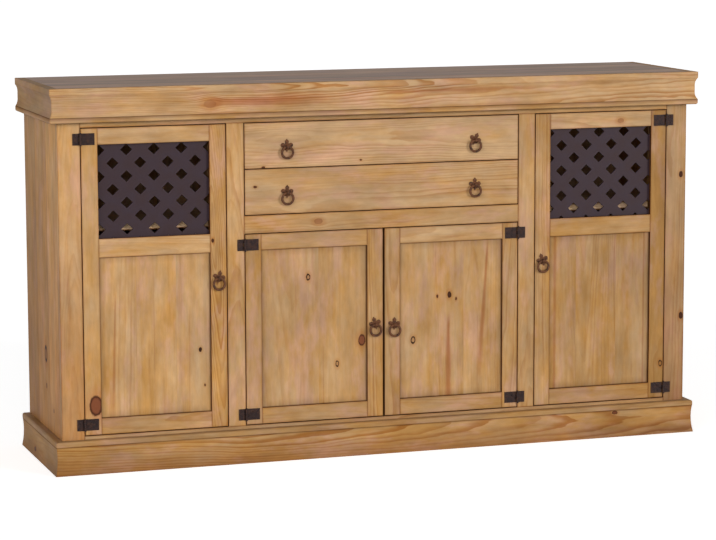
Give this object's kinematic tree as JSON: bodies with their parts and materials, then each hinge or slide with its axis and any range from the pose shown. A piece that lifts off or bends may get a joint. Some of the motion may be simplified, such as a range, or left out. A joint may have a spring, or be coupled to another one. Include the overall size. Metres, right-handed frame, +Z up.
{
  "type": "sideboard",
  "caption": "Rustic waxed pine sideboard: tall cupboards with lattice windows either side of drawers over paired doors, iron face hinges and ring pulls, coved cornice and plinth.",
  "frame": {"origin": "on the floor, under the middle of the sideboard's overall box", "axes": "+X to the viewer's right facing the front, +Y to the back, +Z up; the doors and drawers face -Y"},
  "size_m": [1.8, 0.436, 1],
  "materials": {
    "waxed_pine": "waxed honey pine, satin",
    "pine_inside": "plain pine, matt",
    "dark_lattice": "dark stain, semi-gloss",
    "iron": "dark oiled iron with rust tints",
    "catch": "matt brown"
  },
  "bodies": {
    "cabinet": {"top_board": "waxed_pine", "cornice_front": "waxed_pine", "cornice_returns": "waxed_pine", "cornice_strips": "waxed_pine", "plinth_front": "waxed_pine", "plinth_returns": "waxed_pine", "plinth_caps": "waxed_pine", "side_panels": "waxed_pine", "outer_stiles": "waxed_pine", "mid_stiles": "waxed_pine", "top_rail": "waxed_pine", "centre_rail": "waxed_pine", "bottom_rail": "waxed_pine", "floor_board": "pine_inside", "back_boards": "pine_inside", "dividers": "pine_inside", "shelves": "pine_inside", "shelf_cleats": "pine_inside", "drawer_runners": "pine_inside", "hinge_frame_leaves": "iron", "hinge_pins": "iron", "door_catches": "catch"},
    "left_door": {"left_door_stiles": "waxed_pine", "left_door_rails": "waxed_pine", "left_door_panel": "waxed_pine", "left_door_lattice": "dark_lattice", "left_door_hinge_leaves": "iron", "left_door_pull_plate": "iron"},
    "right_door": {"right_door_stiles": "waxed_pine", "right_door_rails": "waxed_pine", "right_door_panel": "waxed_pine", "right_door_lattice": "dark_lattice", "right_door_hinge_leaves": "iron", "right_door_pull_plate": "iron"},
    "centre_left_door": {"centre_left_door_stiles": "waxed_pine", "centre_left_door_rails": "waxed_pine", "centre_left_door_panel": "waxed_pine", "centre_left_door_hinge_leaves": "iron", "centre_left_door_pull_plate": "iron"},
    "centre_right_door": {"centre_right_door_stiles": "waxed_pine", "centre_right_door_rails": "waxed_pine", "centre_right_door_panel": "waxed_pine", "centre_right_door_hinge_leaves": "iron", "centre_right_door_pull_plate": "iron"},
    "upper_drawer": {"upper_drawer_front": "waxed_pine", "upper_drawer_box": "pine_inside", "upper_drawer_bottom": "pine_inside", "upper_drawer_pull_plates": "iron"},
    "lower_drawer": {"lower_drawer_front": "waxed_pine", "lower_drawer_box": "pine_inside", "lower_drawer_bottom": "pine_inside", "lower_drawer_pull_plates": "iron"},
    "left_door_ring_pull": {"left_door_ring": "iron"},
    "right_door_ring_pull": {"right_door_ring": "iron"},
    "centre_left_door_ring_pull": {"centre_left_door_ring": "iron"},
    "centre_right_door_ring_pull": {"centre_right_door_ring": "iron"},
    "upper_drawer_left_ring_pull": {"upper_drawer_left_ring": "iron"},
    "upper_drawer_right_ring_pull": {"upper_drawer_right_ring": "iron"},
    "lower_drawer_left_ring_pull": {"lower_drawer_left_ring": "iron"},
    "lower_drawer_right_ring_pull": {"lower_drawer_right_ring": "iron"}
  },
  "joints": [
    {"name": "left_door_hinge", "type": "hinge", "parent": "cabinet", "child": "left_door", "pos_m": [-0.817, -0.1989, 0.5], "axis": [0, 0, -1], "range_deg": [0, 170]},
    {"name": "centre_left_door_hinge", "type": "hinge", "parent": "cabinet", "child": "centre_left_door", "pos_m": [-0.383, -0.1989, 0.5], "axis": [0, 0, -1], "range_deg": [0, 170]},
    {"name": "centre_right_door_hinge", "type": "hinge", "parent": "cabinet", "child": "centre_right_door", "pos_m": [0.383, -0.1989, 0.5], "axis": [0, 0, 1], "range_deg": [0, 170]},
    {"name": "right_door_hinge", "type": "hinge", "parent": "cabinet", "child": "right_door", "pos_m": [0.817, -0.1989, 0.5], "axis": [0, 0, 1], "range_deg": [0, 170]},
    {"name": "upper_drawer_slide", "type": "slide", "parent": "cabinet", "child": "upper_drawer", "axis": [0, -1, 0], "range_m": [0, 0.29]},
    {"name": "lower_drawer_slide", "type": "slide", "parent": "cabinet", "child": "lower_drawer", "axis": [0, -1, 0], "range_m": [0, 0.29]},
    {"name": "left_door_ring_swing", "type": "hinge", "parent": "left_door", "child": "left_door_ring_pull", "pos_m": [-0.45475, -0.202, 0.494], "axis": [-1, 0, 0], "range_deg": [-6, 170]},
    {"name": "right_door_ring_swing", "type": "hinge", "parent": "right_door", "child": "right_door_ring_pull", "pos_m": [0.45475, -0.202, 0.4975], "axis": [-1, 0, 0], "range_deg": [-6, 170]},
    {"name": "centre_left_door_ring_swing", "type": "hinge", "parent": "centre_left_door", "child": "centre_left_door_ring_pull", "pos_m": [-0.02425, -0.202, 0.3488], "axis": [-1, 0, 0], "range_deg": [-6, 170]},
    {"name": "centre_right_door_ring_swing", "type": "hinge", "parent": "centre_right_door", "child": "centre_right_door_ring_pull", "pos_m": [0.02925, -0.202, 0.3448], "axis": [-1, 0, 0], "range_deg": [-6, 170]},
    {"name": "upper_drawer_left_ring_swing", "type": "hinge", "parent": "upper_drawer", "child": "upper_drawer_left_ring_pull", "pos_m": [-0.267, -0.202, 0.832], "axis": [-1, 0, 0], "range_deg": [-6, 170]},
    {"name": "upper_drawer_right_ring_swing", "type": "hinge", "parent": "upper_drawer", "child": "upper_drawer_right_ring_pull", "pos_m": [0.258, -0.202, 0.832], "axis": [-1, 0, 0], "range_deg": [-6, 170]},
    {"name": "lower_drawer_left_ring_swing", "type": "hinge", "parent": "lower_drawer", "child": "lower_drawer_left_ring_pull", "pos_m": [-0.267, -0.202, 0.711], "axis": [-1, 0, 0], "range_deg": [-6, 170]},
    {"name": "lower_drawer_right_ring_swing", "type": "hinge", "parent": "lower_drawer", "child": "lower_drawer_right_ring_pull", "pos_m": [0.258, -0.202, 0.711], "axis": [-1, 0, 0], "range_deg": [-6, 170]}
  ]
}
